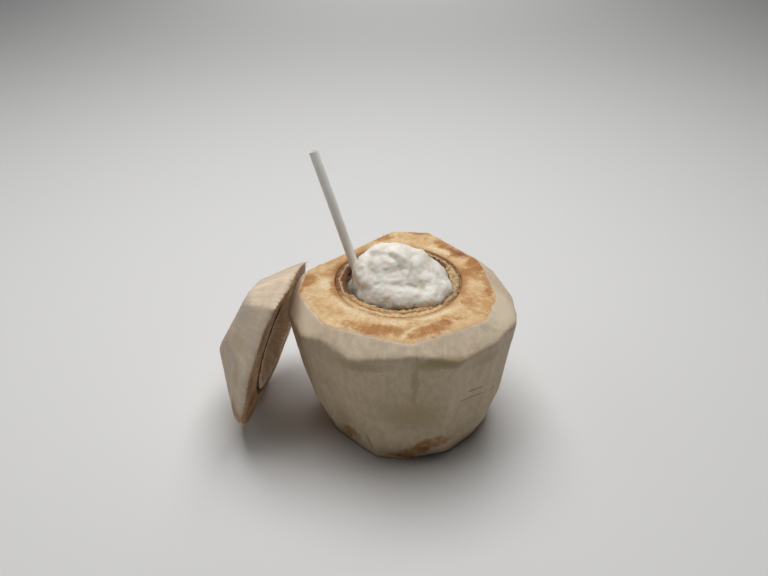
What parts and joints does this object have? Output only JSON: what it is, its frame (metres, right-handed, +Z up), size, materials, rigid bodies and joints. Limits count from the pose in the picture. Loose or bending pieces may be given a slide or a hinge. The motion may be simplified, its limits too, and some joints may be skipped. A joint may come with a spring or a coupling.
{
  "type": "green coconut",
  "caption": "Trimmed young coconut opened for drinking: pared white husk, shell ring, heaped soft flesh, drinking straw and the cut-off lid leaning on its side.",
  "frame": {"origin": "middle of the flat base that the coconut stands on", "axes": "+Z up, the front faces -Y, +X to the right; the lid leans on the -X side"},
  "size_m": [0.1698, 0.1244, 0.1559],
  "materials": {
    "husk": "matte fibrous husk, tan where it has browned",
    "shell": "rough broken edge, dark brown",
    "flesh": "wet, translucent white",
    "straw": "matte off-white"
  },
  "bodies": {
    "root": {"husk": "husk", "shell": "shell", "scraped_flesh": "flesh", "straw": "straw", "lid_husk": "husk", "lid_shell": "shell"}
  },
  "joints": []
}
